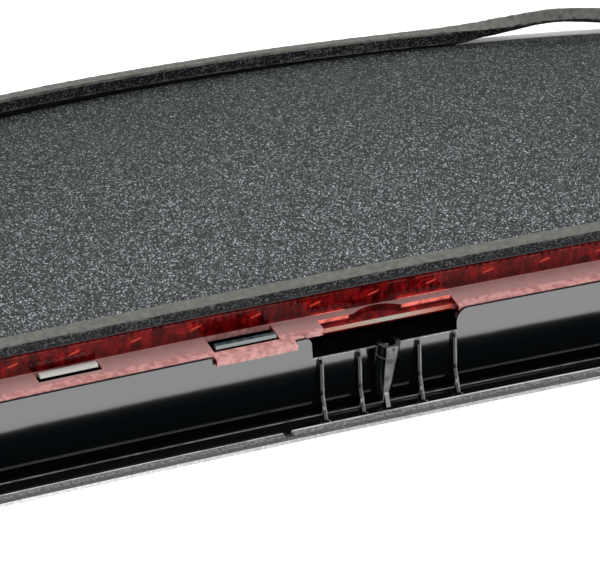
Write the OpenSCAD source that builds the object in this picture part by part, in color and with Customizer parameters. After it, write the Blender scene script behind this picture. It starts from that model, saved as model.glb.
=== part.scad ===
// Third brake light: wide spoiler-type lamp, mounting side up, resting on its outer cover.
// X runs along the lamp, Y from the front lip to the far edge, Z up.
// Origin: middle of the underside. Sections are drawn from the front lip, then moved back by mid_y.

/* [Overall size] */
// Half of the overall length, centre boss to end
half_length = 270; // [250:290]
// Depth from the front lip to the far edge on the centre line
depth = 171; // [160:185]
// Wall of the outer cover
cover_wall = 2.2; // [1.8:3]

/* [Back panel] */
// Height of the panel surface behind the lens
panel_height = 33.3; // [32:35]
// Radius of the crown of the panel, front to back
crown_radius = 385; // [350:600]
// Panel thickness
panel_wall = 2.4; // [2:3]

/* [Foam gasket] */
// Height of the foam above its tape
foam_height = 4.1; // [3:6]
// Width of the foam strip
foam_width = 4.6; // [4:6]

/* [Light row] */
// Distance between LEDs
led_pitch = 20; // [16:25]
// LEDs on each side of the middle one
leds_each_side = 12; // [8:12]
// Height of the LED row
led_height = 28.4; // [27:29]

/* [Centre boss] */
// Outside radius of the screw boss
boss_radius = 3.7; // [3.4:4.5]
// Radius of the screw hole
boss_hole = 2.2; // [1.8:2.6]
// Depth of the screw hole
boss_hole_depth = 18; // [12:19]
// Height of the top of the boss
boss_top = 23.2; // [20:24]

/* [Mounting] */
// Stud positions either side of the middle
stud_x = 190; // [170:200]
// Stud thread radius
stud_radius = 3; // [2.5:4]
// Stud length above its flange
stud_length = 18; // [12:25]

/* [Hidden] */
$fn = 96;
fine = 1440;
front_radius = 5600;                       // plan curve of lip, trim and lens
rear_offset = 392;                         // plan curve of the far edge, centre behind the lip
rear_corner = 30;
flat_end = 120;                            // underside is flat from the lip to here
sweep_radius = 200;                        // then it sweeps up to the far edge
crown_y = 59.3;
crown_z = panel_height - sqrt(pow(crown_radius, 2) - pow(crown_y - 28, 2));
lens_y = 26.8;                             // front of the upright lens face
flange_top = 25.4;
wall_foot = [10.8, 4.2];
wall_bend = [14.13, 18.7];
wall_head = [16.8, 25.1];
shelf = [17.5, 19];
boss_y = 10.6;
pocket = [-23.5, 26];
ledge = [-18, 27.5];                       // sunken ledge of the lens over the pocket
rib_x = [-21.1, -8.2, 12.3, 24.6];
lens_tab = [-56, -29];
side_notch = [79.5, 99];                   // wall opening on the right
// snap hooks: middle, width, front, back of the window, hook front
hooks = [[-100.7, 20.5, 22, 26.8, 23.6], [-44, 22, 19.1, 26.8, 20.2],
  [101, 20.5, 21.9, 26.8, 23.6], [160, 22, 19.1, 26.8, 20.2], [-160, 22, 19.1, 26.8, 20.2]];
prop_x = [-210, -130, -70, 66, 130, 210];
trim_screw_x = [-188, -76, 76, 188];
board_screw_x = [-230, -150, -50, 50, 150, 230];
cover_screw_at = [[-235, 52], [-235, 92], [-168, 56], [-168, 122],
  [235, 52], [235, 92], [168, 56], [168, 122]];
stud_y = 84;
pad_top = 35.8;
gasket_back = 168.4;
socket_at = [-140, 95];
vent_at = [205, 58];
clip_x = 218;
clip_y = 66;
function crown(y) = crown_z + sqrt(pow(crown_radius, 2) - pow(y - crown_y, 2));
function under(y) = y < flat_end ? 0 : sweep_radius - sqrt(pow(sweep_radius, 2) - pow(y - flat_end, 2));
function along_line(a, b, z) = a[0] + (z - a[1]) * (b[0] - a[0]) / (b[1] - a[1]);
function wall_y(z) =
  z < wall_bend[1] ? along_line(wall_foot, wall_bend, z) : along_line(wall_bend, wall_head, z);
turn = 180 / PI / front_radius;
mid_y = (depth + sqrt(pow(front_radius, 2) - pow(half_length, 2)) - front_radius) / 2;

module placed() translate([0, -mid_y, 0]) children();

// section in Y and Z swept along the front curve from x0 to x1
module bend(x0, x1)
  translate([0, -front_radius, 0]) rotate([0, 0, 90 - x1 * turn])
    rotate_extrude(angle = (x1 - x0) * turn, $fn = fine) translate([front_radius, 0]) children();

// local frame standing on the front curve at x
module at_front(x)
  translate([0, -front_radius, 0]) rotate([0, 0, -x * turn]) translate([0, front_radius, 0]) children();

// section in Y and Z run straight along X
module along(half) rotate([90, 0, 90]) translate([0, 0, -half]) linear_extrude(2 * half) children();

// plan outline between a front curve and a far curve, far corners rounded
module outline(front, back, half, corner) {
  rb = back + rear_offset;
  cx = half - corner;
  cy = sqrt(pow(rb - corner, 2) - pow(cx, 2)) - rear_offset;
  ux = cx / (rb - corner);
  uy = (cy + rear_offset) / (rb - corner);
  difference() {
    intersection() {
      translate([-half, -30]) square([2 * half, back + 30]);
      translate([0, -rear_offset]) circle(r = rb, $fn = fine);
    }
    translate([0, -front_radius]) circle(r = front_radius + front, $fn = fine);
    for (s = [0, 1]) mirror([s, 0]) difference() {
      polygon([[cx, cy], [half + 5, cy], [half + 5, cy + 60],
               [ux * (rb + 6), uy * (rb + 6) - rear_offset]]);
      translate([cx, cy]) circle(r = corner + 0.08);
    }
  }
}

// everything below the crown raised by h
module below_crown(h) intersection() {
  translate([crown_y, crown_z]) circle(r = crown_radius + h, $fn = fine);
  translate([-10, -5]) square([200, 60]);
}
module crown_band(top, bottom) difference() { below_crown(top); below_crown(bottom); }

// hollow or solid above the underside raised by h
module above_floor(h) {
  translate([-10, h]) square([flat_end + 10, 60 - h]);
  intersection() {
    translate([flat_end, sweep_radius]) circle(r = sweep_radius - h);
    translate([flat_end, 0]) square([100, 60]);
  }
}

module outer_cover() placed() color([0.16, 0.16, 0.17]) {
  difference() {
    intersection() {
      linear_extrude(60) outline(0, depth, half_length, rear_corner);
      along(half_length + 1) intersection() {
        above_floor(0);
        below_crown(-1.2);
        polygon([[-9, -2], [-9, 1.9], [3, 1.9], [14, 26.5], [24, 32.2], [60, 45], [190, 45], [190, -2]]);
      }
    }
    intersection() {
      linear_extrude(60)
        outline(0.9, depth - cover_wall, half_length - cover_wall, rear_corner - cover_wall);
      along(half_length) union() {
        intersection() { above_floor(cover_wall); translate([14, 0]) square([180, 60]); }
        translate([0.5, 0.8]) square([14, 60]);
      }
    }
  }
  // posts for the trim screws
  for (x = trim_screw_x) at_front(x) translate([0, 21, cover_wall - 0.2]) difference() {
    cylinder(r = 3.2, h = shelf[0] - cover_wall + 0.2);
    translate([0, 0, 3]) cylinder(r = 1.2, h = 20);
  }
  // posts for the cover screws
  for (p = cover_screw_at) difference() {
    intersection() {
      translate([p[0], p[1], under(p[1]) + cover_wall - 0.5]) cylinder(r = 4, h = 40);
      along(half_length) below_crown(-panel_wall);
    }
    translate([p[0], p[1], 12]) cylinder(r = 1.5, h = 40);
  }
}

module trim_section() polygon([[3.5, 0.85], [3.5, 2.3], [4.1, 2.3], [4.1, 1.6], [6.6, 1.6], [6.6, 2.4],
  [7.4, 2.4], [9.9, 2.6], wall_foot, wall_bend, wall_head, [17.5, wall_head[1]], [17.5, flange_top - 2.05],
  [wall_y(23.3) + 2, flange_top - 2.05], [wall_y(shelf[1]) + 2, shelf[1]], [38, shelf[1]],
  [38, shelf[0]], [wall_y(shelf[0]) + 2, shelf[0]],
  [wall_foot[0] + 2, wall_foot[1]], [12.2, 0.85]]);

module inner_trim() placed() color([0.03, 0.03, 0.035]) difference() {
  union() {
    bend(-258, 258) trim_section();
    // gusset ribs of the pocket
    for (x = rib_x) bend(x - 0.6, x + 0.6) polygon([[wall_y(19) - 0.1, 19.4],
      [wall_y(17.8) - 1.3, 17.9], [9.5, 8], [5.2, 1.7], [12, 1.7], [wall_y(19) + 1, 19.4]]);
    // screw boss with its foot rib
    translate([0, boss_y, 1.7]) cylinder(r1 = boss_radius - 0.6, r2 = boss_radius, h = boss_top - 1.7);
    bend(-0.7, 0.7) polygon([[boss_y, 1.7], [4.6, 1.7], [7.6, 6], [boss_y, 6]]);
    bend(-0.7, 0.7) translate([boss_y, 6]) square([wall_y(18) - boss_y + 1, 12.5]);
    // snap hooks rising through the lens windows
    for (h = hooks) bend(h[0] - h[1] / 2 + 0.9, h[0] + h[1] / 2 - 0.9)
      polygon([[h[4], shelf[1] - 0.5], [h[4], flange_top + 0.3], [h[4] - 0.5, flange_top + 0.3],
        [h[4] + 0.2, flange_top + 1.1], [h[4] + 1.5, flange_top + 1.1], [h[4] + 1.5, shelf[1] - 0.5]]);
    // props under the lens flange
    for (x = prop_x) bend(x - 0.8, x + 0.8) translate([wall_y(21) + 1.5, shelf[1] - 0.5])
      square([10, flange_top - 2 - shelf[1] + 0.5]);
  }
  // pocket over the boss: wall cut down to the shelf
  bend(pocket[0], pocket[1]) translate([12.5, shelf[1] + 0.1]) square([6, 8]);
  // rounded upper corners of the pocket
  for (c = [[pocket[0], 2, -1], [pocket[1], 4.5, 1]]) at_front(c[0]) translate([0, 10, wall_head[1]])
    rotate([-90, 0, 0]) difference() {
      translate([c[2] > 0 ? -0.1 : -c[1], -0.1, 0]) cube([c[1] + 0.1, c[1] + 0.1, 9]);
      translate([c[2] * c[1], c[1], -1]) cylinder(r = c[1] + 0.06, h = 11);
    }
  // wall lowered under the lens tab, opening at the side
  bend(lens_tab[0] - 0.5, lens_tab[1] + 0.5) translate([12, flange_top - 2.1]) square([7, 5]);
  bend(side_notch[0], side_notch[1]) translate([12, shelf[1] + 0.1]) square([6.4, 8]);
  translate([0, boss_y, boss_top - boss_hole_depth]) cylinder(r = boss_hole, h = 30);
  for (x = trim_screw_x) at_front(x) translate([0, 21, 10]) cylinder(r = 1.6, h = 12);
}

module lens() placed() color([0.7, 0.04, 0.05, 0.85]) difference() {
  union() {
    difference() {
      union() {
        bend(-258, 258) polygon([[17.6, flange_top - 2], [17.6, flange_top], [lens_y, flange_top],
          [lens_y, 33.1], [lens_y + 2.2, 33.1], [lens_y + 2.2, flange_top - 2]]);
        // tab over the lowered wall
        bend(lens_tab[0], lens_tab[1]) translate([14.6, flange_top - 2]) square([3.6, 2]);
        // riser behind the sunken ledge
        bend(ledge[0] - 1.2, ledge[1] + 1.2) translate([23, 22]) square([5, 3]);
      }
      // flange cut back over the pocket, bowed in the middle
      bend(ledge[0], ledge[1]) translate([14, 22.9]) square([10, 4]);
      bend(pocket[0] - 2, ledge[0] + 1) translate([14, 22.9]) square([5.2, 4]);
      at_front(2.2) translate([0, 11.2, 22.9]) cylinder(r = 15.2, h = 4);
    }
    bend(ledge[0] - 1.2, ledge[1] + 1.2)
      polygon([[21.8, 21.2], [21.8, 22], [22.5, 23], [27.5, 23], [27.5, 21.2]]);
    // optic over each LED
    for (i = [-leds_each_side : leds_each_side]) at_front(i * led_pitch)
      translate([0, lens_y + 2.1, led_height]) rotate([-90, 0, 0]) cylinder(r = 2.4, h = 0.9);
  }
  for (h = hooks) bend(h[0] - h[1] / 2, h[0] + h[1] / 2)
    translate([h[2], flange_top - 3]) square([h[3] - h[2], 4]);
}

module housing() placed() color([0.2, 0.21, 0.215]) difference() {
  union() {
    intersection() {
      linear_extrude(60) outline(29.4, depth - cover_wall - 0.2, half_length - cover_wall - 0.2,
        rear_corner - cover_wall - 0.2);
      along(half_length) crown_band(0, -panel_wall);
    }
    // skirt inside the cover wall
    intersection() {
      linear_extrude(60) difference() {
        outline(40, depth - cover_wall - 0.2, half_length - cover_wall - 0.2,
                rear_corner - cover_wall - 0.2);
        outline(30, depth - cover_wall - 2, half_length - cover_wall - 2, rear_corner - cover_wall - 2);
      }
      along(half_length) crown_band(-1, -panel_wall - 4);
    }
    // chamber wall behind the LED board, standing on the trim shelf
    intersection() {
      bend(-256, 256) translate([36.4, shelf[1]]) square([1.6, 13]);
      along(half_length) below_crown(-1);
    }
    for (x = board_screw_x)
      at_front(x) translate([0, 34.8, 27.6]) rotate([-90, 0, 0]) cylinder(r = 2.2, h = 2);
    // stiffening ribs under the panel
    intersection() {
      union() {
        for (x = [-100, -50, 0, 50, 100]) {
          translate([x - 0.8, 36.4, 19.2]) cube([1.6, 118, 15]);
          translate([x - 0.8, 38.6, 13]) cube([1.6, 115.8, 8]);
        }
        translate([-150, 108, 13]) cube([300, 1.6, 21]);
      }
      along(half_length) below_crown(-1);
    }
    // pads for studs, socket, vent and clip towers
    for (s = [-1, 1]) {
      translate([s * stud_x, stud_y, 27]) cylinder(r = 11, h = pad_top - 27);
      translate([s * clip_x - 5, clip_y - 10, 30]) cube([10, 20, 14]);
    }
    translate([socket_at[0] - 19, socket_at[1] - 14, 28]) cube([38, 28, pad_top - 28]);
    translate([vent_at[0], vent_at[1], 30]) cylinder(r = 10, h = pad_top - 30);
  }
  for (p = cover_screw_at) translate([p[0], p[1], crown(p[1]) - 1]) {
    cylinder(r = 4, h = 5);
    translate([0, 0, -8]) cylinder(r = 2, h = 20);
  }
  for (s = [-1, 1]) translate([s * stud_x, stud_y, 20]) cylinder(r = stud_radius, h = 30);
  translate([socket_at[0] - 11, socket_at[1] - 6, 20]) cube([22, 12, 30]);
  translate([vent_at[0], vent_at[1], 20]) cylinder(r = 4, h = 30);
  for (x = board_screw_x)
    at_front(x) translate([0, 30, 27.6]) rotate([-90, 0, 0]) cylinder(r = 0.9, h = 12);
  at_front(-140) translate([-7, 36, 23]) cube([14, 3, 7]);
  for (s = [-1, 1]) translate([s * clip_x - 3, clip_y - 8, 26]) cube([6, 16, 16.4]);
}

module ring(top, bottom, inset = 0) intersection() {
  difference() {
    linear_extrude(60) outline(lens_y + inset, gasket_back - inset, 266.4 - inset, 26.4 - inset);
    translate([0, 0, -1]) linear_extrude(62) outline(lens_y + foam_width - inset,
      gasket_back - foam_width + inset, 266.4 - foam_width + inset, 26.4 - foam_width + inset);
  }
  along(half_length) crown_band(top, bottom);
}
module gasket_tape() placed() color([0.72, 0.72, 0.7]) ring(0.3, 0, 0.5);
module foam_gasket() placed() color([0.45, 0.45, 0.43]) ring(0.3 + foam_height, 0.3);

module left_edge_strip() placed() color([0.35, 0.35, 0.35]) bend(-262, -37)
  polygon([[0.95, 0.85], [0.95, 1.9], [2.9, 2.1], [3.4, 1.7], [3.4, 0.85]]);
module right_edge_strip() placed() color([0.35, 0.35, 0.35]) bend(-34, 262)
  polygon([[0.95, 0.85], [0.95, 2.0], [3.0, 2.3], [3.4, 2.1], [3.4, 0.85]]);

module led_board() placed() color([0.9, 0.9, 0.88]) difference() {
  bend(-254, 254) translate([33.2, 24.4]) square([1.6, 6]);
  for (x = board_screw_x) at_front(x) translate([0, 30, 27.6]) rotate([-90, 0, 0]) cylinder(r = 1, h = 12);
}

module leds() placed() color([0.95, 0.75, 0.2])
  for (i = [-leds_each_side : leds_each_side]) at_front(i * led_pitch) {
    translate([-1.6, 32, led_height - 1.6]) cube([3.2, 1.2, 3.2]);
    translate([0, 32.1, led_height]) rotate([90, 0, 0]) cylinder(r = 1.2, h = 0.6);
  }

module reflector() placed() color([0.92, 0.92, 0.93]) difference() {
  bend(-254, 254) translate([30.4, 24.4]) square([2.8, 6]);
  for (i = [-leds_each_side : leds_each_side]) at_front(i * led_pitch)
    translate([-4, 30, led_height - 2]) cube([8, 4, 3.6]);
  for (x = board_screw_x) at_front(x) translate([0, 30, 27.6]) rotate([-90, 0, 0]) cylinder(r = 2.1, h = 6);
}

module resistors() placed() color([0.08, 0.08, 0.08])
  for (i = [-11 : 2 : 11]) at_front(i * led_pitch + 6) translate([-1.6, 34.8, 26]) cube([3.2, 0.6, 1.6]);
module diodes() placed() color([0.12, 0.12, 0.13])
  for (x = [-120, -112, 112, 120]) at_front(x) translate([-1.8, 34.8, 27.4]) cube([3.6, 1.1, 2]);
module board_header() placed() color([0.93, 0.92, 0.85])
  at_front(-140) translate([-6, 34.8, 24.4]) cube([12, 6.2, 5]);

module rod(a, b, r) translate(a) rotate([0, acos((b - a)[2] / norm(b - a)), atan2((b - a)[1], (b - a)[0])])
  cylinder(r = r, h = norm(b - a));
lead_route = [[0, 39.2, 26.8], [0, 50, 26.8], [0, 50, 16], [0, 92, 16], [0, 92, 24.8]];
module lead_wires() placed() color([0.75, 0.1, 0.08]) for (s = [-1, 1]) translate([-140 + 2.2 * s, 0, 0]) {
  for (i = [0 : len(lead_route) - 2]) rod(lead_route[i], lead_route[i + 1], 0.8);
  for (i = [1 : len(lead_route) - 2]) translate(lead_route[i]) sphere(r = 0.8);
}

module lens_seal() placed() color([0.1, 0.1, 0.1]) bend(-258, 258)
  translate([lens_y + 2.2, 31.2]) square([0.4, 1.9]);

module board_screws() placed() color([0.75, 0.76, 0.78]) for (x = board_screw_x) at_front(x)
  translate([0, 31.8, 27.6]) rotate([-90, 0, 0]) difference() {
    union() {
      cylinder(r = 1.8, h = 1.4);
      cylinder(r = 0.9, h = 6);
    }
    translate([-0.3, -1.2, -1]) cube([0.6, 2.4, 1.6]);
    translate([-1.2, -0.3, -1]) cube([2.4, 0.6, 1.6]);
  }

module trim_screws() placed() color([0.75, 0.76, 0.78]) for (x = trim_screw_x) at_front(x)
  translate([0, 21, 0]) difference() {
    union() {
      translate([0, 0, shelf[1]]) cylinder(r = 3, h = 1.8);
      translate([0, 0, 8]) cylinder(r = 1.2, h = 12);
    }
    for (a = [0, 90]) rotate([0, 0, a]) translate([-0.4, -1.8, shelf[1] + 0.8]) cube([0.8, 3.6, 2]);
  }

module cover_screws() placed() color([0.7, 0.71, 0.73]) for (p = cover_screw_at)
  translate([p[0], p[1], crown(p[1]) - 1]) difference() {
    union() {
      cylinder(r = 3.6, h = 2);
      translate([0, 0, -12]) cylinder(r = 1.5, h = 13);
    }
    for (a = [0, 90]) rotate([0, 0, a]) translate([-0.5, -2.2, 1]) cube([1, 4.4, 2]);
  }

module connector_socket() placed() color([0.05, 0.05, 0.055])
translate([socket_at[0], socket_at[1], 0]) difference() {
  union() {
    translate([-16, -11, pad_top + 1.2]) cube([32, 22, 2.4]);
    translate([-11, -6, 26]) cube([22, 12, 12]);
    translate([-13, -8, pad_top + 2]) cube([26, 16, 16]);
    translate([-3, 7, pad_top + 8]) cube([6, 3.4, 3]);
  }
  translate([-11, -6, pad_top + 4]) cube([22, 12, 20]);
  for (x = [-6, 0, 6]) translate([x - 1.1, -0.4, 20]) cube([2.2, 0.8, 30]);
  for (s = [-1, 1]) translate([2.2 * s, -3, 20]) cylinder(r = 0.8, h = 10);
}

module connector_pins() placed() color([0.8, 0.7, 0.4]) translate([socket_at[0], socket_at[1], 0])
  for (x = [-6, 0, 6]) translate([x - 1.1, -0.4, 25]) cube([2.2, 0.8, 23.5]);

module connector_seal() placed() color([0.55, 0.15, 0.1])
translate([socket_at[0], socket_at[1], pad_top]) difference() {
  translate([-16, -11, 0]) cube([32, 22, 1.2]);
  translate([-11, -6, -1]) cube([22, 12, 4]);
}

module vent_membrane() placed() color([0.95, 0.95, 0.95]) translate([vent_at[0], vent_at[1], pad_top])
  cylinder(r = 7, h = 0.3);
module vent_cap() placed() color([0.1, 0.1, 0.1])
translate([vent_at[0], vent_at[1], pad_top]) difference() {
  cylinder(r = 9, h = 3);
  translate([0, 0, -1]) cylinder(r = 7, h = 3);
  for (a = [0 : 60 : 300]) rotate([0, 0, a]) translate([5, 0, 1]) cylinder(r = 0.8, h = 4);
}

module mounting_studs() placed() color([0.8, 0.8, 0.78])
for (s = [-1, 1]) translate([s * stud_x, stud_y, 0]) {
  translate([0, 0, 21]) cylinder(r = stud_radius, h = pad_top + 2 + stud_length - 21);
  translate([0, 0, pad_top]) cylinder(r = 8, h = 2);
}
module stud_nuts() placed() color([0.72, 0.73, 0.75])
for (s = [-1, 1]) translate([s * stud_x, stud_y, 22.5]) difference() {
  cylinder(r = 5.8, h = 4.5, $fn = 6);
  translate([0, 0, -1]) cylinder(r = stud_radius, h = 8);
}

module retainer_clips() placed() color([0.6, 0.6, 0.58])
for (s = [-1, 1]) translate([s * clip_x, clip_y, 0])
  difference() {
    union() {
      translate([-6, -6, 35]) cube([12, 12, 9.9]);
      for (t = [-1, 1]) translate([t * 5.9 - 0.7, -4, 38]) cube([1.4, 8, 3]);
    }
    translate([-5, -7, 30]) cube([10, 14, 14]);
  }

module cap_section() polygon([[3.5, 0.85], [3.5, 2.3], [9.8, 2.8], wall_foot,
   wall_bend, wall_head, [17.6, 31], [24, 32.8],
  [29, 33.1], [29, 24], [18, 6], [12.2, 2.3], [12.2, 0.85]]);
module left_end_cap() placed() color([0.05, 0.05, 0.055]) bend(-264, -258.1) cap_section();
module right_end_cap() placed() color([0.05, 0.05, 0.055]) bend(258.1, 264) cap_section();

outer_cover();
inner_trim();
lens();
housing();
foam_gasket();
gasket_tape();
left_edge_strip();
right_edge_strip();
leds();
led_board();
reflector();
resistors();
diodes();
board_header();
lead_wires();
lens_seal();
board_screws();
trim_screws();
cover_screws();
connector_socket();
connector_pins();
connector_seal();
vent_cap();
vent_membrane();
mounting_studs();
stud_nuts();
retainer_clips();
left_end_cap();
right_end_cap();
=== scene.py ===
import math

import bmesh
import bpy
from mathutils import Matrix, Vector, noise


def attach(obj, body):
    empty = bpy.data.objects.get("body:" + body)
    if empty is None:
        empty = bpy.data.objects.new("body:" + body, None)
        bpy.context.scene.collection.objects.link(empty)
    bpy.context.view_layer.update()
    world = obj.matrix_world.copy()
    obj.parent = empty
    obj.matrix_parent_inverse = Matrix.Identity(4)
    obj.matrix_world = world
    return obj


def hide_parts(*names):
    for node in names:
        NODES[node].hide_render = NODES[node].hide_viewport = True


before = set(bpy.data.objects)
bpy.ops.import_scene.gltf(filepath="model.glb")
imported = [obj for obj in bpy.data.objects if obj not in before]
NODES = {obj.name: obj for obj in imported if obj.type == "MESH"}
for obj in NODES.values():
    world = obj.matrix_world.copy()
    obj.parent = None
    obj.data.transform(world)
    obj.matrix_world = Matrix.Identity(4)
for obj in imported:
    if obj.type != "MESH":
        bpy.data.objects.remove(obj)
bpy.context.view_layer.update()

MM = 0.001
LIP_Y = -0.0822436                  # the front lip on the centre line, in metres

# The section, in millimetres. A depth is the distance behind the lip.
# A pair is a stretch, or a soft edge where its two numbers are close.
FRONT_R = 5600.0                    # radius of the front edge, seen from above
REAR_OFF = 392.0                    # the rear edge is an arc centred this far in front of the lip
CROWN_R, CROWN_Y = 385.0, 59.3      # the panel's crown: radius, and the depth where it is highest
PANEL_Z, PANEL_Y = 33.3, 28         # height and depth of the panel's front edge
WALL_D, WALL_SLOPE = 9.65, 0.23     # the trim wall's lower face: depth at Z 0, and depth gained per mm
FOOT_Z, FOOT_D = (2.5, 4.3), (7.6, 7.8)         # the wall's matt foot, also painted darker as shade
LINE_Z, LINE_D = (2.2, 2.3), (7.0, 7.5)         # the painted highlight line in front of it
POCKET_Z, POCKET_D = 19.0, 14.6     # height of the pocket's floor, and the depth of its brim
POCKET_X = (-23.5, 26.0)
RIB_X = (-21.1, -8.2, 12.3, 24.6)   # gusset ribs of the pocket
RIB_HALF, RIB_LIT = 0.7, (0.2, 0.62)            # half a rib's thickness; the painted highlight stripe on its right
BOSS_D, BOSS_Z = 10.6, (22.8, 23.0)             # the screw boss, and where its rim starts
HOLE_SQ, RIM_SQ = (5.0, 5.2), (14.6, 14.8)      # squared radii where its hole and its rim end
HOOK_Z = (25.3, 25.5)               # the snap hooks start here
WHITE_HOOK_X = (-81, -79)           # and are white to the left of this
FLANGE_Z = (25.6, 25.7)             # the lens flange ends here
LIT_D = (20.9, 21.5)                # and its lit front ends here
FACE_D, FACE_RIM_Z = (26.6, 26.7), (32.3, 32.7)             # the lens's upright face, and its upper rim
FLUTES_Z = (26.2, 26.8)             # the flutes of the face start here
LEDGE_X, LEDGE_Z = (-18.2, 27.7), (25.0, 25.3)              # the lens ledge sunk over the pocket
BOW_LEFT_X, BOW_RIGHT_X = (-7.8, -7.0), (10.4, 11.0)        # the ends of the bow in its middle
RISER_Z, BARS_Z = (22.8, 23.1), (23.9, 24.3)    # its riser, and the bright bars on that
CHAMFER_Z, CHAMFER_D = (21.9, 23.0), (22.9, 23.2)
LED_X, LED_Z, LED_PITCH = 1.7, 29.9, 20.0
HALO_Z = (29.0, 31.2)

FACING_FRONT = (-0.5, -0.3)         # a surface's Y direction, where it stops counting as a front


def add_object(name, data):
    o = bpy.data.objects.new(name, data)
    bpy.context.scene.collection.objects.link(o)
    return o


# ---------------------------------------------------------------- camera
AZ, EL, ROLL = math.radians(29.315), math.radians(35.999), math.radians(7.369)
DIST, OFF = 1254.339, (-29.156, 43.264)     # mm from the lip's middle: back, then right and up
SENSOR, LENS = 36, 244.67508                # mm


def camera():
    back = Vector((-math.sin(AZ) * math.cos(EL), -math.cos(AZ) * math.cos(EL), math.sin(EL)))
    side = Vector((math.cos(AZ), -math.sin(AZ), 0))
    up = back.cross(side)
    right = side * math.cos(ROLL) + up * math.sin(ROLL)
    top = up * math.cos(ROLL) - side * math.sin(ROLL)
    data = bpy.data.cameras.new("camera")
    data.sensor_width = SENSOR
    data.lens = LENS
    data.clip_start, data.clip_end = 0.05, 20
    cam = add_object("camera", data)
    place = (back * DIST + right * OFF[0] + top * OFF[1]) * MM + Vector((0, LIP_Y, 0))
    turn = Matrix((right, top, back)).transposed().to_4x4()
    cam.matrix_world = Matrix.Translation(place) @ turn
    bpy.context.scene.camera = cam


camera()


# ---------------------------------------------------------------- materials
class Graph:
    """A material's node tree, built with short calls."""

    SOCKETS = {"color": "Base Color", "rough": "Roughness", "metal": "Metallic", "normal": "Normal",
               "ior": "IOR", "trans": "Transmission Weight", "spec": "Specular IOR Level",
               "coat": "Coat Weight", "coat_rough": "Coat Roughness", "coat_normal": "Coat Normal",
               "emit": "Emission Color", "emit_by": "Emission Strength"}

    def __init__(self, name):
        self.m = bpy.data.materials.new(name)
        self.m.use_nodes = True
        self.t = self.m.node_tree
        self.p = self.t.nodes["Principled BSDF"]
        self.co = self.t.nodes.new("ShaderNodeTexCoord").outputs["Object"]

    def new(self, kind, inputs=None, **props):
        n = self.t.nodes.new(kind)
        for k, v in props.items():
            setattr(n, k, v)
        for k, v in (inputs or {}).items():
            self.put(n.inputs[k], v)
        return n

    def put(self, socket, v):
        if isinstance(v, bpy.types.NodeSocket):
            self.t.links.new(v, socket)
        else:
            socket.default_value = v

    def set(self, **looks):
        for k, v in looks.items():
            self.put(self.p.inputs[self.SOCKETS[k]], (*v, 1) if isinstance(v, tuple) else v)
        return self.m

    # -- numbers
    def math(self, op, a, b=0.0, clamp=False):
        n = self.new("ShaderNodeMath", operation=op, use_clamp=clamp)
        self.put(n.inputs[0], a)
        self.put(n.inputs[1], b)
        return n.outputs[0]

    def fold(self, op, out, *rest):
        for v in rest:
            out = self.math(op, out, v)
        return out

    def add(self, *terms):
        return self.fold("ADD", *terms)

    def sub(self, a, b):
        return self.math("SUBTRACT", a, b)

    def mul(self, *factors):
        return self.fold("MULTIPLY", *factors)

    def most(self, *masks):
        """The largest of the masks."""
        return self.fold("MAXIMUM", *masks)

    def inverse(self, mask):
        return self.sub(1.0, mask)

    def remap(self, v, a, b, c, d):
        ends = {"Value": v, "From Min": a, "From Max": b, "To Min": c, "To Max": d}
        return self.new("ShaderNodeMapRange", ends).outputs[0]

    def rise(self, v, a, b):
        """Zero up to a, one from b on."""
        return self.remap(v, a, b, 0, 1)

    def fall(self, v, a, b):
        """One up to a, zero from b on."""
        return self.remap(v, a, b, 1, 0)

    def window(self, v, a, b, soft):
        """One between a and b, falling off over soft outside them."""
        return self.mul(self.rise(v, a - soft, a), self.fall(v, b, b + soft))

    # -- places
    def axis(self, i):
        return self.new("ShaderNodeSeparateXYZ", {"Vector": self.co}).outputs[i]

    def axis_mm(self, i):
        return self.mul(self.axis(i), 1000)

    def depth(self):
        """Distance behind the front lip in millimetres, following the lip's curve."""
        x, y = self.axis(0), self.axis(1)
        bow = self.mul(x, x, 1 / (2 * FRONT_R * MM))
        return self.mul(self.add(self.sub(y, LIP_Y), bow), 1000)

    def facing(self, i):
        """How far the surface faces along an axis, from -1 to 1."""
        normal = self.new("ShaderNodeTexCoord").outputs["Normal"]
        return self.new("ShaderNodeSeparateXYZ", {"Vector": normal}).outputs[i]

    def edges(self):
        """One on sharp outer edges."""
        return self.rise(self.new("ShaderNodeNewGeometry").outputs["Pointiness"], 0.52, 0.6)

    # -- patterns
    def noise(self, scale, detail=3, rough=0.5, co=None, distortion=0.0):
        inputs = {"Vector": co or self.co, "Scale": scale, "Detail": detail, "Roughness": rough,
                  "Distortion": distortion}
        return self.new("ShaderNodeTexNoise", inputs).outputs["Fac"]

    def voronoi(self, scale, out="Distance"):
        return self.new("ShaderNodeTexVoronoi", {"Vector": self.co, "Scale": scale}).outputs[out]

    def ramp(self, fac, stops):
        n = self.new("ShaderNodeValToRGB", {"Fac": fac})
        e = n.color_ramp.elements
        while len(e) < len(stops):
            e.new(0.5)
        for el, (pos, col) in zip(e, stops):
            el.position = pos
            el.color = (col, col, col, 1) if isinstance(col, (int, float)) else (*col, 1)
        return n.outputs["Color"]

    def patches(self, scale, detail, *stops, **more):
        """Noise turned into patches by a ramp."""
        return self.ramp(self.noise(scale, detail, **more), stops)

    def mix(self, fac, a, b, kind="MIX"):
        n = self.new("ShaderNodeMix", data_type="RGBA", blend_type=kind)
        self.put(n.inputs[0], fac)
        self.put(n.inputs[6], (*a, 1) if isinstance(a, tuple) else a)
        self.put(n.inputs[7], (*b, 1) if isinstance(b, tuple) else b)
        return n.outputs[2]

    def mottle(self, scale, detail, low, high, a, b, **more):
        """Colour a in patches of colour b: noise under low gives a, noise over high gives b."""
        return self.mix(self.patches(scale, detail, (low, 0), (high, 1), **more), a, b)

    def uneven(self, scale, low, high, detail=3):
        """A number that wanders between low and high."""
        return self.remap(self.noise(scale, detail), 0.3, 0.7, low, high)

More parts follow.
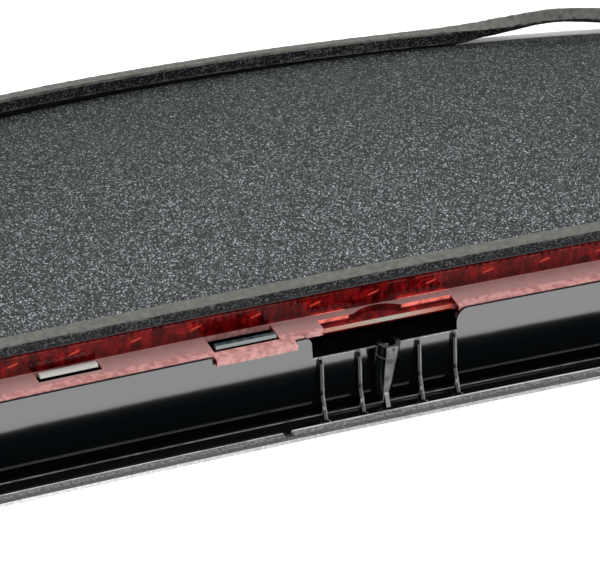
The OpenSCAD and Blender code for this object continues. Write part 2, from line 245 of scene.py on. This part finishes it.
    def bump(self, height, strength, dist, normal=None):
        ins = {"Height": height, "Strength": strength, "Distance": dist}
        if normal is not None:
            ins["Normal"] = normal
        return self.new("ShaderNodeBump", ins).outputs[0]


def plastic(name, dark, light, rough=(0.35, 0.55), bump=0.15, metal=0.0):
    """Moulded or plated piece: mottled colour, uneven gloss, fine grain, paler edges from wear."""
    g = Graph(name)
    wear_and_highlight = tuple(min(1, c * 1.6 + 0.03) for c in light)
    col = g.mix(g.mul(g.edges(), 0.25), g.mottle(90, 4, 0.35, 0.65, dark, light), wear_and_highlight)
    return g.set(color=col, rough=g.uneven(360, *rough), metal=metal,
                 normal=g.bump(g.noise(2500, 2), bump, 0.0001))


def grained_panel():
    """Grained charcoal plastic: each grain cell gets its own grey, and the brightest cells are painted
    glints.
    """
    g = Graph("grained_charcoal")
    grain = 2300
    # partly the grain's own grey; the brightest cells are painted glints of the grain bumps
    grain_tone_and_glints = g.ramp(g.voronoi(grain, out="Color"),
                  [(0.0, 0.003), (0.40, 0.014), (0.60, 0.045), (0.74, 0.16), (0.88, 0.45), (1.0, 0.85)])
    soft = g.mottle(90, 4, 0.3, 0.7, (0.025, 0.029, 0.031), (0.040, 0.045, 0.047))
    crisp = g.math("ADD", 0.62, g.mul(g.noise(240, 3), 0.5), clamp=True)
    # painted shade: darker towards the back and the right, where less light falls
    light_falloff = g.mul(g.remap(g.depth(), 35, 165, 1.05, 0.50), g.remap(g.axis(0), 0.03, 0.16, 1.0, 0.80))
    painted_falloff = g.ramp(light_falloff, [(0.0, 0.0), (1.0, (0.98, 1.10, 1.13))])
    col = g.mix(1.0, g.mix(crisp, soft, grain_tone_and_glints), painted_falloff, "MULTIPLY")
    height = g.add(g.mul(g.voronoi(grain), 0.6), g.mul(g.noise(2600, 2), 0.6))
    return g.set(color=col, rough=g.uneven(500, 0.50, 0.66, detail=2),
                 normal=g.bump(height, 0.7, 0.0002), spec=0.28)


def gloss_black():
    """Black plastic, polished where it shows, with bare snap hooks in the lens windows.

    The wall's foot, the pocket's floor and the screw hole are matt and painted darker as shade, and the
    ribs and the boss's rim are partly polished. Painted highlights run along some edges, and one hook has a
    painted reflection.
    """
    g = Graph("gloss_black")
    x, z, d = g.axis_mm(0), g.axis_mm(2), g.depth()
    scuff = g.patches(700, 6, (0.62, 0), (0.76, 1), rough=0.7, distortion=1.5)
    black = g.mix(g.mul(scuff, 0.2), (0.002, 0.003, 0.0037), (0.014, 0.015, 0.016))
    # matt places, also painted darker as shade: the wall's foot, the pocket's floor, the screw hole
    from_boss = g.add(g.math("POWER", x, 2), g.math("POWER", g.sub(d, BOSS_D), 2))
    shelf = g.mul(g.window(z, POCKET_Z - 0.5, POCKET_Z + 0.2, 0.1), g.rise(d, POCKET_D, POCKET_D + 0.3))
    foot = g.mul(g.window(z, *FOOT_Z, 0.1), g.rise(d, *FOOT_D))
    dull = g.most(shelf, foot, g.fall(from_boss, *HOLE_SQ))
    rim = g.mul(g.fall(from_boss, *RIM_SQ), g.rise(z, *BOSS_Z))
    # whatever stands in front of the wall under the pocket's floor belongs to a rib
    ahead = g.sub(g.add(WALL_D, g.mul(z, WALL_SLOPE)), d)
    proud = g.mul(g.rise(ahead, 0.0, 0.2), g.fall(z, POCKET_Z - 0.3, POCKET_Z + 0.4))
    ribs = g.mul(g.most(*[g.window(x, at - RIB_HALF, at + RIB_HALF, 0.05) for at in RIB_X]), proud)
    lit = g.mul(g.most(*[g.window(x, at + RIB_LIT[0], at + RIB_LIT[1], 0.05) for at in RIB_X]), proud)
    # painted highlights: a pale stripe on one side of each rib, the pocket's brim, a line along the foot
    brim = g.mul(g.window(z, POCKET_Z - 0.15, POCKET_Z + 0.15, 0.03), g.window(x, *POCKET_X, 0.1),
                 g.fall(d, POCKET_D - 0.1, POCKET_D + 0.1))
    line = g.mul(g.window(d, *LINE_D, 0.1), g.rise(z, *LINE_Z))
    painted_edge_highlights = g.mul(g.most(lit, brim, line), g.patches(200, 3, (0.35, 0.4), (0.6, 1)))
    col = g.mix(painted_edge_highlights, g.mix(dull, black, (0.0012, 0.0016, 0.002)), (0.24, 0.245, 0.245))
    # hooks: white in the left window; in the other dark, with a painted reflection on the side facing front
    hook = g.mottle(300, 3, 0.4, 0.6, (0.03, 0.045, 0.055), (0.09, 0.11, 0.12))
    hook = g.mix(g.fall(g.facing(1), *FACING_FRONT), hook, (0.34, 0.38, 0.38))
    hook = g.mix(g.fall(x, *WHITE_HOOK_X), hook, (0.72, 0.72, 0.68))
    col = g.mix(g.rise(z, *HOOK_Z), col, hook)
    polish = g.mul(g.inverse(g.mul(scuff, 0.25)), g.inverse(g.most(dull, g.mul(rim, 0.65))),
                   g.inverse(g.mul(ribs, 0.7)))
    fine = g.bump(g.noise(1800, 3), 0.04, 0.00004, g.bump(g.noise(45, 2), 0.05, 0.0006))
    return g.set(color=col, rough=g.uneven(500, 0.45, 0.65), spec=0.0, coat=polish, coat_rough=0.07,
                 normal=fine, coat_normal=fine)


def red_lens():
    """Red lens: clear streaked face with a painted glint at each LED, frosted flange, painted light on its
    edges over the pocket; these painted marks also glow.
    """
    g = Graph("red_lens")
    x, z, d = g.axis_mm(0), g.axis_mm(2), g.depth()
    faces_up, faces_back = g.facing(2), g.facing(1)
    over = g.window(x, *LEDGE_X, 0.3)
    sunk = g.mul(over, g.fall(z, *LEDGE_Z))
    flat = g.mul(g.rise(faces_up, 0.6, 0.8), g.fall(z, *FLANGE_Z))
    front = g.mul(g.fall(faces_back, *FACING_FRONT), g.fall(z, *FLANGE_Z))
    # face: dark streaks, then a painted slanting glint and a painted halo of light in the middle of each
    # LED's cell
    drag = g.new("ShaderNodeMapping", {"Vector": g.co, "Scale": (1.0, 1.0, 0.25),
                                       "Rotation": (0, 0.5, 0)}).outputs[0]
    red = g.mottle(300, 3, 0.35, 0.65, (0.20, 0.004, 0.006), (0.52, 0.014, 0.016))
    red = g.mix(g.patches(420, 4, (0.42, 0.85), (0.58, 0), rough=0.7, co=drag), red, (0.06, 0.002, 0.003))
    pitches = g.add(g.math("DIVIDE", g.sub(x, LED_X), LED_PITCH), 100.5)
    cell = g.sub(g.math("FRACT", pitches), 0.5)
    slant = g.sub(g.sub(z, LED_Z), g.mul(cell, 6.0))
    glint = g.mul(g.window(cell, -0.07, 0.07, 0.03), g.window(slant, -0.28, 0.28, 0.25), g.rise(d, *FACE_D))
    halo = g.mul(g.window(cell, -0.10, 0.10, 0.16), g.window(z, *HALO_Z, 1.3), g.rise(d, *FACE_D))
    rim = g.mul(g.window(z, *FACE_RIM_Z, 0.15), g.patches(350, 3, (0.45, 0), (0.62, 1)))
    # flange: dull behind, lit in front
    pink = g.mottle(260, 4, 0.3, 0.7, (0.48, 0.26, 0.25), (0.56, 0.31, 0.30))
    lit = g.mottle(500, 3, 0.4, 0.6, (0.52, 0.21, 0.20), (0.76, 0.38, 0.36))
    ahead = g.fall(g.add(d, g.mul(g.noise(60, 2), 1.2)), *LIT_D)
    col = g.mix(g.mul(flat, g.inverse(sunk)), red, g.mix(ahead, pink, lit))
    # painted light: the flange's front-facing edge takes the lit colour too
    edge = g.mul(front, g.inverse(over))
    col = g.mix(edge, col, lit)
    # riser over the pocket: two bars of painted reflection beside the bowed middle, and a chamfer strip
    # under them
    riser = g.mul(front, over, g.rise(z, *RISER_Z))
    bars = g.math("ADD", g.fall(x, *BOW_LEFT_X), g.rise(x, *BOW_RIGHT_X), clamp=True)
    bright = g.mul(riser, bars, g.remap(z, *BARS_Z, 0.10, 1), g.patches(420, 3, (0.3, 0.5), (0.6, 1)))
    chamfer = g.mul(over, g.window(z, *CHAMFER_Z, 0.1), g.rise(faces_back, -0.2, -0.4),
                    g.fall(d, *CHAMFER_D))
    # painted reflection along the chamfer strip, changing colour from left to right
    strip = g.ramp(g.rise(x, -18, 28),
                   [(0.0, (0.55, 0.20, 0.13)), (0.3, (0.50, 0.33, 0.25)), (0.55, (0.42, 0.42, 0.35)),
                    (0.75, (0.50, 0.26, 0.19)), (1.0, (0.60, 0.08, 0.05))])
    col = g.mix(chamfer, g.mix(bright, col, (0.95, 0.22, 0.18)), strip)
    col = g.mix(rim, g.mix(glint, col, (0.80, 0.09, 0.05)), (0.55, 0.08, 0.07))
    frost = g.math("ADD", g.add(flat, edge), chamfer, clamp=True)
    trans = g.remap(g.math("ADD", frost, bright, clamp=True), 0, 1, 0.66, 0.06)
    # painted light: the bars, the chamfer strip, the glints and the halos also glow, though the lens is no
    # lamp
    shine = g.add(g.add(g.mul(bright, 0.55), g.mul(chamfer, 0.12)),
                  g.add(g.mul(glint, 0.16), g.mul(halo, 0.10)))
    flutes = g.mul(g.math("SINE", g.mul(x, 2.6)), g.remap(z, *FLUTES_Z, 0, 0.5))
    height = g.add(flutes, g.noise(420, 4, 0.7, co=drag))
    return g.set(color=col, rough=g.remap(frost, 0, 1, 0.08, 0.45), trans=trans, ior=1.49,
                 emit=col, emit_by=shine,
                 normal=g.bump(height, 0.35, 0.0003, g.bump(g.noise(900, 2), 0.08, 0.0001)))


def foam_skin():
    """Closed-cell black foam with open cells on the cut sides: the smooth top painted lighter as lit, the
    sides darker as shade, a painted highlight along the tape's edge, and painted shadow on the dark foot.
    """
    g = Graph("foam")
    ragged = g.mul(g.sub(g.noise(900, 4), 0.5), 0.25)
    # partly the smooth top against the cut cells, partly painted light: the top lighter as lit, the sides
    # darker as shade
    skin_and_top_light = g.ramp(g.add(g.facing(2), ragged), [(0.30, 0), (0.50, 1)])
    band = g.new("ShaderNodeAttribute", attribute_name="band").outputs["Fac"]
    cells = g.voronoi(2600)
    top_col = g.mottle(420, 5, 0.3, 0.7, (0.13, 0.13, 0.118), (0.20, 0.20, 0.183))
    shaded_cut_cells = g.mix(g.ramp(cells, [(0.1, 0), (0.6, 1)]), (0.002, 0.003, 0.0035), (0.012, 0.014, 0.015))
    specks = g.ramp(g.voronoi(2200, out="Color"), [(0.62, 0), (0.80, 0.8)])
    shaded_cut_cells = g.mix(specks, shaded_cut_cells, (0.12, 0.125, 0.125))
    # the tape's edge under the foam, painted pale as a highlight line
    liner_highlight = g.mul(g.fall(band, 0.0, 0.12), g.patches(260, 3, (0.42, 0.15), (0.6, 1)))
    col = g.mix(g.mul(liner_highlight, 0.8), g.mix(skin_and_top_light, shaded_cut_cells, top_col), (0.12, 0.12, 0.12))
    # painted shadow: the foot under the lifted run is near black, standing for the shade beneath the foam
    col = g.mix(g.fall(band, -0.42, -0.30), col, (0.004, 0.004, 0.005))
    height = g.add(g.mul(cells, 0.7), g.noise(1500, 3))
    return g.set(color=col, rough=g.uneven(600, 0.75, 0.95), normal=g.bump(height, 0.5, 0.0002), spec=0.12)


def cover_paint():
    """Dark fine-textured cover; the cut face of the lip is paler, and paler still towards its left end."""
    g = Graph("cover_paint")
    z = g.axis(2)
    lip = g.fall(g.axis(1), LIP_Y + 0.0011, LIP_Y + 0.0013)
    cut = g.mul(lip, g.fall(z, 0.00125, 0.0014))
    rim = g.mul(lip, g.rise(z, 0.0015, 0.0017))
    base = g.mottle(120, 4, 0.3, 0.7, (0.020, 0.021, 0.022), (0.034, 0.035, 0.036))
    mid = g.mottle(1300, 4, 0.35, 0.65, (0.06, 0.062, 0.062), (0.13, 0.132, 0.13))
    pale = g.mottle(900, 4, 0.35, 0.65, (0.34, 0.34, 0.336), (0.58, 0.58, 0.575))
    paler_left = g.mottle(900, 4, 0.35, 0.65, (0.62, 0.62, 0.615), (0.88, 0.88, 0.87))
    pale = g.mix(g.fall(g.axis(0), -0.10, -0.02), pale, paler_left)
    return g.set(color=g.mix(cut, g.mix(rim, base, mid), pale), rough=g.uneven(300, 0.38, 0.55),
                 normal=g.bump(g.noise(2200, 3), 0.3, 0.0001))


def ribbed_strip():
    """Ribbed rubber edge strip, with a painted highlight along its inner edge."""
    g = Graph("strip_rubber")
    ribs = g.math("SINE", g.mul(g.axis(0), 5200.0))
    col = g.mottle(1100, 4, 0.38, 0.62, (0.055, 0.057, 0.057), (0.26, 0.265, 0.26), rough=0.7)
    # painted highlight along the inner edge
    wear_and_highlight = g.mul(g.window(g.depth(), 2.65, 3.1, 0.1), g.patches(160, 3, (0.3, 0.35), (0.6, 1)))
    return g.set(color=g.mix(wear_and_highlight, col, (0.82, 0.82, 0.81)), rough=0.6,
                 normal=g.bump(g.add(ribs, g.noise(2500)), 0.4, 0.0001))


def tape():
    """Double-sided tape: pale where the foam has come off it at the back, painted dark at the front as
    shade under the foam.
    """
    g = Graph("tape")
    pale = g.mottle(120, 3, 0.3, 0.7, (0.66, 0.66, 0.66), (0.78, 0.78, 0.78))
    shaded_front = g.mottle(900, 3, 0.35, 0.65, (0.01, 0.01, 0.01), (0.05, 0.05, 0.05))
    return g.set(color=g.mix(g.rise(g.depth(), 80, 90), shaded_front, pale), rough=g.uneven(400, 0.4, 0.6),
                 normal=g.bump(g.noise(1500, 2), 0.1, 0.0001))


def glow(name, col, strength):
    """A mottled colour that also gives off light."""
    g = Graph(name)
    c = g.mottle(1500, 3, 0.3, 0.7, tuple(v * 0.7 for v in col), col)
    return g.set(color=c, rough=0.2, emit=c, emit_by=strength)


MATS = {
    "housing": grained_panel(),
    "inner_trim": gloss_black(),
    "lens": red_lens(),
    "outer_cover": cover_paint(),
    "left_edge_strip": ribbed_strip(),
    "gasket_tape": tape(),
    # painted light: the LEDs are unlit, and their glow stands in for glints inside the lens
    "leds": glow("led_package", (0.95, 0.62, 0.30), 0.6),
    "led_board": plastic("board_white", (0.60, 0.58, 0.54), (0.75, 0.74, 0.72)),
    "reflector": plastic("reflector_chrome", (0.75, 0.75, 0.76), (0.88, 0.88, 0.9), rough=(0.08, 0.2),
                         bump=0.05, metal=1.0),
    "resistors": plastic("chip_black", (0.02, 0.02, 0.02), (0.05, 0.05, 0.05)),
    "board_header": plastic("header_cream", (0.62, 0.58, 0.46), (0.74, 0.71, 0.60)),
    "lead_wires": plastic("wire_red", (0.35, 0.02, 0.02), (0.5, 0.05, 0.04), rough=(0.3, 0.45)),
    "lens_seal": plastic("sealant", (0.015, 0.015, 0.015), (0.04, 0.04, 0.04), rough=(0.5, 0.8)),
    "cover_screws": plastic("zinc", (0.45, 0.46, 0.48), (0.66, 0.67, 0.69), rough=(0.22, 0.4), metal=1.0),
    "connector_socket": plastic("connector_black", (0.012, 0.012, 0.013), (0.03, 0.03, 0.032)),
    "connector_pins": plastic("pin_brass", (0.55, 0.42, 0.16), (0.75, 0.62, 0.3), rough=(0.2, 0.35),
                              metal=1.0),
    "connector_seal": plastic("seal_red", (0.20, 0.03, 0.02), (0.32, 0.06, 0.04), rough=(0.5, 0.7)),
    "vent_membrane": plastic("membrane_white", (0.75, 0.75, 0.75), (0.88, 0.88, 0.88), rough=(0.6, 0.8)),
    "retainer_clips": plastic("spring_steel", (0.16, 0.16, 0.155), (0.30, 0.30, 0.29), rough=(0.3, 0.5),
                              metal=1.0),
    "left_end_cap": plastic("cap_black", (0.015, 0.015, 0.016), (0.035, 0.035, 0.038)),
}
SAME = {"right_edge_strip": "left_edge_strip", "diodes": "resistors", "board_screws": "cover_screws",
        "trim_screws": "cover_screws", "mounting_studs": "cover_screws", "stud_nuts": "cover_screws",
        "vent_cap": "connector_socket", "right_end_cap": "left_end_cap"}
for name, obj in NODES.items():
    if name != "foam_gasket":       # replaced below
        obj.data.materials.clear()
        obj.data.materials.append(MATS[SAME.get(name, name)])


# ---------------------------------------------------------------- foam gasket
FOAM_W, FOAM_H = 4.6, 4.1
FOAM_FRONT, FOAM_REAR, FOAM_HALF, FOAM_CORNER = 26.8, 168.4, 266.4, 26.4    # its outer edge
FRONT_CORNER = 2                    # radius of the two front corners of its middle line
CORNER_CUT = 0.2                    # taken off the section's corners
TAPE_T = 0.33                       # the foam starts this far above the panel
STEP = 1.0                          # length of one piece of the strip

# the far run has come loose on the right: X, turn towards the front in degrees, lift
LOOSE = [(-235, 0, 0), (-200, 0, 2.0), (-64, 1, 2.3), (-46, 3, 2.2), (-9, 3, 1.8), (27, 0, 1.6),
         (63, -2, 1.3), (91, 3, 1.3), (98, 12, 1.6), (105, 24, 2.0), (112, 39, 2.9), (119, 51, 4.1),
         (126, 65, 5.2), (132, 68, 5.5), (140, 61, 5.0), (147, 56, 4.1), (162, 36, 2.6), (178, 12, 1.5),
         (192, 0, 1.2), (235, 0, 0)]
FAR_RUN_Y = 90                      # the far run lies behind this depth
NO_FOOT = 0.05                      # a shorter foot than this is left out
FREE_FROM, FREE_TO = (94, 107), (184, 196)      # no foot under the strip between these X


def crown(y):
    """Height of the panel at a depth."""
    return (PANEL_Z - math.sqrt(CROWN_R ** 2 - (CROWN_Y - PANEL_Y) ** 2)
            + math.sqrt(CROWN_R ** 2 - (y - CROWN_Y) ** 2))


def ring_path(front, rear, half, corner):
    """Closed line round the panel, seen from above, clockwise from the middle of its rear edge."""
    rb = rear + REAR_OFF
    cx = half - corner
    cy = math.sqrt((rb - corner) ** 2 - cx ** 2) - REAR_OFF
    th = math.atan2(cy + REAR_OFF, cx)
    pts = []
    n = int(rb * (math.pi / 2 - th) / STEP)
    for i in range(n):
        a = math.pi / 2 - (math.pi / 2 - th) * i / n
        pts.append((rb * math.cos(a), rb * math.sin(a) - REAR_OFF))
    n = int(corner * th / STEP)
    for i in range(n):
        a = th * (1 - i / n)
        pts.append((cx + corner * math.cos(a), cy + corner * math.sin(a)))
    yf = math.sqrt((FRONT_R + front) ** 2 - half ** 2) - FRONT_R
    r = FRONT_CORNER
    n = int((cy - yf - r) / STEP)
    for i in range(n):
        pts.append((half, cy + (yf + r - cy) * i / n))
    n = 6
    for i in range(n):
        a = -math.pi / 2 * i / n
        pts.append((half - r + r * math.cos(a), yf + r + r * math.sin(a)))
    n = int((half - r) / STEP)
    for i in range(n):
        x = (half - r) * (1 - i / n)
        pts.append((x, math.sqrt((FRONT_R + front) ** 2 - x ** 2) - FRONT_R))
    return pts + [(0.0, front)] + [(-x, y) for x, y in reversed(pts[1:])]


def smooth(a, b, t):
    t = min(1, max(0, (t - a) / (b - a)))
    return t * t * (3 - 2 * t)


def loose(x):
    """Turn and lift of the far run at x."""
    for (x0, t0, l0), (x1, t1, l1) in zip(LOOSE, LOOSE[1:]):
        if x0 <= x <= x1:
            k = (x - x0) / (x1 - x0)
            return t0 + (t1 - t0) * k, l0 + (l1 - l0) * k
    return 0.0, 0.0


def section():
    """The strip's section: -1 to 1 across, 0 to 1 up, as points round its four sides."""
    sides = (((-1, 0), (-1, 1), 6), ((-1, 1), (1, 1), 7), ((1, 1), (1, 0), 6), ((1, 0), (-1, 0), 5))
    pts = []
    for (x0, y0), (x1, y1), n in sides:
        for i in range(n):
            pts.append((x0 + (x1 - x0) * i / n, y0 + (y1 - y0) * i / n))
    return pts


def foam_point(x, y, u, v, turn_by, foot):
    """A point of the section, as distances across and up before the turn, with the foam's unevenness."""
    a = u * FOAM_W / 2
    b = FOAM_H * v if v > 0.99 or foot < NO_FOOT else -foot + (FOAM_H + foot) * v
    if v in (0, 1) and abs(u) == 1:
        a -= math.copysign(CORNER_CUT, u)
        b += CORNER_CUT if v == 0 else -CORNER_CUT
    fine = Vector((x * 0.25, y * 0.25, v * 3 + u))
    wrinkle = noise.noise(Vector((x * 0.9, y * 0.9, u * 0.8))) * (0.10 + 0.40 * min(1, turn_by / 45))
    a += 0.12 * noise.noise(fine * 0.9) * abs(u)
    if v > 0.5:
        b += 0.10 * noise.noise(fine * 2.3) + max(-0.3, wrinkle)
    return a, b


def gasket():
    """The foam strip round the panel, with its loose length. Its band is the height for the material."""
    inset = FOAM_W / 2
    pts = ring_path(FOAM_FRONT + inset, FOAM_REAR - inset, FOAM_HALF - inset, FOAM_CORNER - inset)
    n = len(pts)
    sect = section()
    bm = bmesh.new()
    band = bm.verts.layers.float.new("band")
    rings = []
    for i, (x, y) in enumerate(pts):
        xa, ya = pts[i - 1]
        xb, yb = pts[(i + 1) % n]
        d = math.hypot(xb - xa, yb - ya)
        ox, oy = -(yb - ya) / d, (xb - xa) / d
        turn_by = lift = foot = 0.0
        if y > FAR_RUN_Y and oy > 0:
            near = [loose(x + k) for k in (-4, -2, 0, 2, 4)]
            turn_by, lift = (sum(v[j] for v in near) / len(near) for j in (0, 1))
            # the foot carries the foam down to the panel under the lifted run, only to hold its painted
            # shadow
            foot = lift * (1 - smooth(*FREE_FROM, x) + smooth(*FREE_TO, x))
        lean = math.atan(-(y - CROWN_Y) / math.sqrt(CROWN_R ** 2 - (y - CROWN_Y) ** 2) * oy)
        c, s = math.cos(lean + math.radians(turn_by)), math.sin(lean + math.radians(turn_by))
        ring = []
        for u, v in sect:
            a, b = foam_point(x, y, u, v, turn_by, foot)
            mark = b + 1 if foot < NO_FOOT else b
            a, b = a * c - (b - FOAM_H / 2) * s, a * s + (b - FOAM_H / 2) * c
            vert = bm.verts.new(Vector(((x + ox * a) * MM, (y + oy * a) * MM + LIP_Y,
                                        (crown(y) + TAPE_T + FOAM_H / 2 + lift + b) * MM)))
            vert[band] = mark
            ring.append(vert)
        rings.append(ring)
    m = len(sect)
    for i in range(n):
        ra, rb = rings[i], rings[(i + 1) % n]
        for j in range(m):
            bm.faces.new((ra[j], ra[(j + 1) % m], rb[(j + 1) % m], rb[j]))
    bmesh.ops.recalc_face_normals(bm, faces=bm.faces)
    me = bpy.data.meshes.new("foam_strip")
    bm.to_mesh(me)
    bm.free()
    o = add_object("foam_strip", me)
    me.materials.append(foam_skin())
    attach(o, "root")
    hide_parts("foam_gasket")


gasket()


# ---------------------------------------------------------------- floor and light
def floor():
    g = Graph("floor")
    col = g.mottle(6, 3, 0.3, 0.7, (0.90, 0.90, 0.90), (0.93, 0.93, 0.93))
    g.set(color=col, rough=0.7, normal=g.bump(g.noise(300, 3), 0.03, 0.0003),
          emit=(1.0, 1.0, 1.0), emit_by=0.45)
    half, under = 6, -0.0003
    me = bpy.data.meshes.new("floor")
    me.from_pydata([(-half, -half, under), (half, -half, under), (half, half, under), (-half, half, under)],
                   [], [(0, 1, 2, 3)])
    o = add_object("floor", me)
    me.materials.append(g.m)
    o.visible_glossy = False


def softbox(name, at, aim, size, power):
    d = bpy.data.lights.new(name, "AREA")
    d.shape, d.size, d.size_y, d.energy = "RECTANGLE", size[0], size[1], power
    o = add_object(name, d)
    o.location = at
    o.rotation_euler = (Vector(at) - Vector(aim)).to_track_quat("Z", "Y").to_euler()
    o.visible_camera = False
    return o


def low_strip():
    """The strip in front of the lip that the trim wall mirrors; it only shows as a reflection."""
    x, z = 0.03, 0.01835
    low = softbox("low_strip", (x, LIP_Y - 0.030, z), (x, 0.0, z), (1.1, 0.0273), 0.55)
    low.visible_diffuse = False


def studio():
    """White above the horizon, black below it."""
    world = bpy.data.worlds.new("studio")
    bpy.context.scene.world = world
    world.use_nodes = True
    t = world.node_tree
    sky = t.nodes.new("ShaderNodeMapRange")
    for k, v in (("From Min", -0.02), ("From Max", 0.02), ("To Min", 0.0), ("To Max", 0.3)):
        sky.inputs[k].default_value = v
    split = t.nodes.new("ShaderNodeSeparateXYZ")
    t.links.new(t.nodes.new("ShaderNodeTexCoord").outputs["Generated"], split.inputs[0])
    t.links.new(split.outputs[2], sky.inputs["Value"])
    t.links.new(sky.outputs[0], t.nodes["Background"].inputs["Strength"])
    t.nodes["Background"].inputs["Color"].default_value = (1, 1, 1, 1)


floor()
softbox("overhead", (0.1, 0.35, 1.3), (0, 0, 0), (1.6, 1.2), 13)
softbox("front", (-0.35, -1.1, 0.75), (0, 0, 0), (1.0, 0.6), 5)
softbox("behind", (0.62, 1.10, 0.92), (0, 0, 0), (1.1, 0.7), 5)
low_strip()
studio()
bpy.context.scene.view_settings.view_transform = "Standard"
